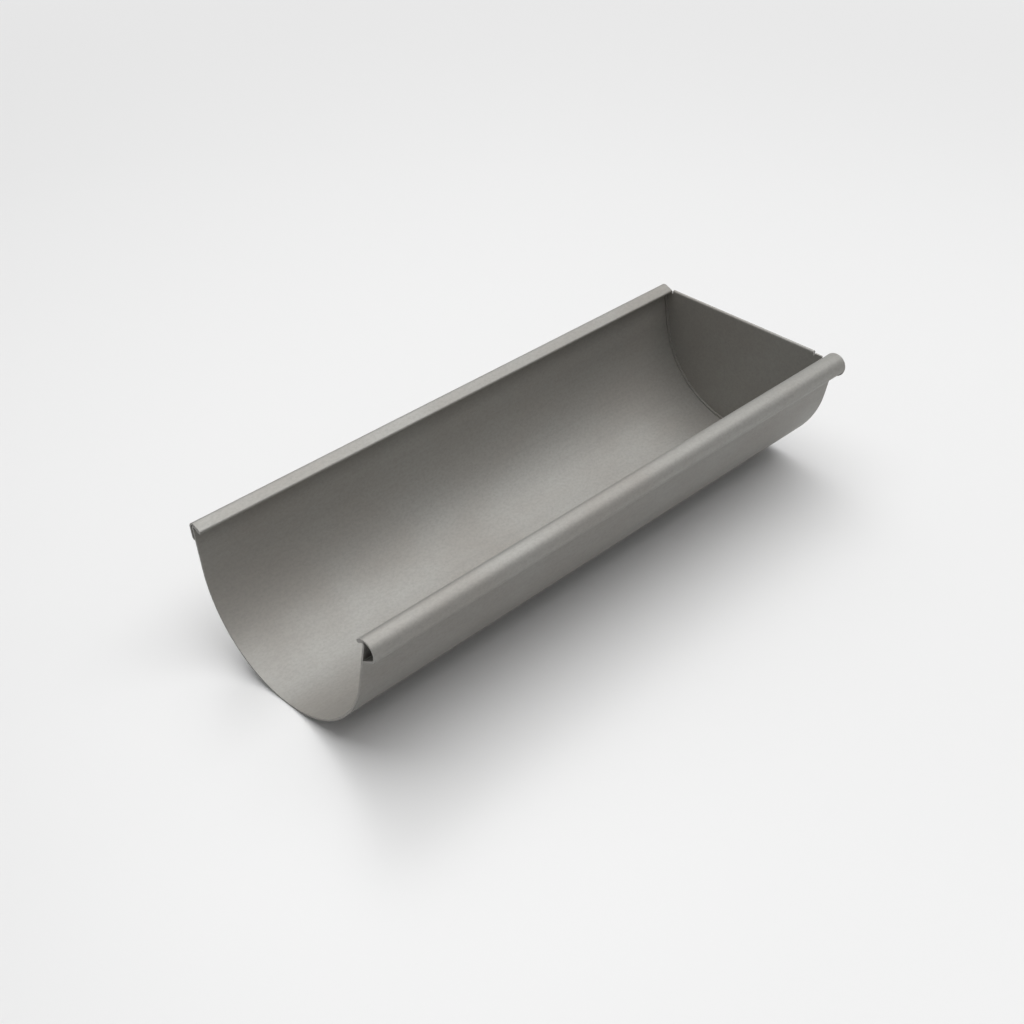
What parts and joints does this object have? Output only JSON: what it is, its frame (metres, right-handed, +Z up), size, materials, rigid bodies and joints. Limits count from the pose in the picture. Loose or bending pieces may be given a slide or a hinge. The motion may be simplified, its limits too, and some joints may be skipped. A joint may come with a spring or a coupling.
{
  "type": "half-round gutter section",
  "caption": "Short length of half-round metal gutter with a rolled front bead, a folded rear rim and a pressed stop end.",
  "frame": {"origin": "at the open end, under the middle of the round bottom, on the surface that it rests on", "axes": "+X along the gutter from the open end to the stop end, +Z up, the beaded front rim towards -Y"},
  "size_m": [0.4115, 0.1579, 0.0909],
  "materials": {
    "coated_sheet": "satin"
  },
  "bodies": {
    "root": {"gutter_trough": "coated_sheet", "stop_end": "coated_sheet"}
  },
  "joints": []
}
